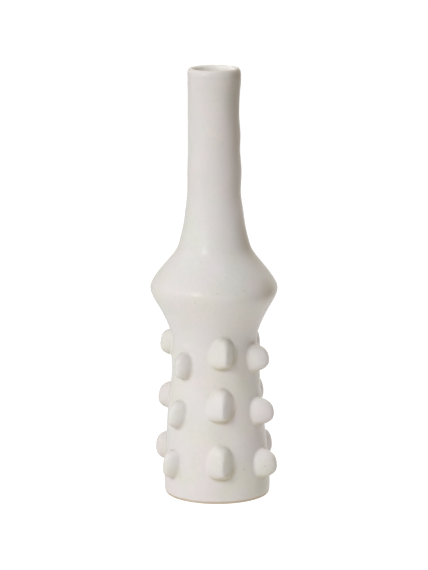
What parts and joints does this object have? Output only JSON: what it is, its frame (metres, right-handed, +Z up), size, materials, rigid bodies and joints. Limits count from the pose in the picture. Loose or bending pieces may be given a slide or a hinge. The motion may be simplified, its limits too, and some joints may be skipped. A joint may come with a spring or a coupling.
{
  "type": "bottle vase",
  "caption": "Tall hand-built stoneware bottle vase: tapered body studded with pressed clay knobs, flared shoulder and long open neck, for cut or dried stems.",
  "frame": {"origin": "centre of the flat bottom face, on the surface that the vase stands on", "axes": "+Z up towards the mouth; -Y towards the front column of knobs; the body leans 2.8 mm towards -X"},
  "size_m": [0.114, 0.114, 0.385],
  "materials": {
    "glaze": "semi-gloss creamy off-white glaze with fine grey specks",
    "bare_clay": "matt unglazed tan stoneware"
  },
  "bodies": {
    "root": {"foot_slab": "bare_clay", "body_wall": "glaze", "shoulder_lower": "glaze", "shoulder_upper": "glaze", "neck_collar": "glaze", "neck_tube": "glaze", "lip_ring": "glaze", "knob_front_top": "glaze", "knob_front_mid": "glaze", "knob_front_low": "glaze", "knob_right_top": "glaze", "knob_right_mid": "glaze", "knob_right_low": "glaze", "knob_back_right_top": "glaze", "knob_back_right_mid": "glaze", "knob_back_right_low": "glaze", "knob_back_top": "glaze", "knob_back_mid": "glaze", "knob_back_low": "glaze", "knob_left_top": "glaze", "knob_left_mid": "glaze", "knob_left_low": "glaze", "knob_front_left_top": "glaze", "knob_front_left_mid": "glaze", "knob_front_left_low": "glaze"}
  },
  "joints": []
}
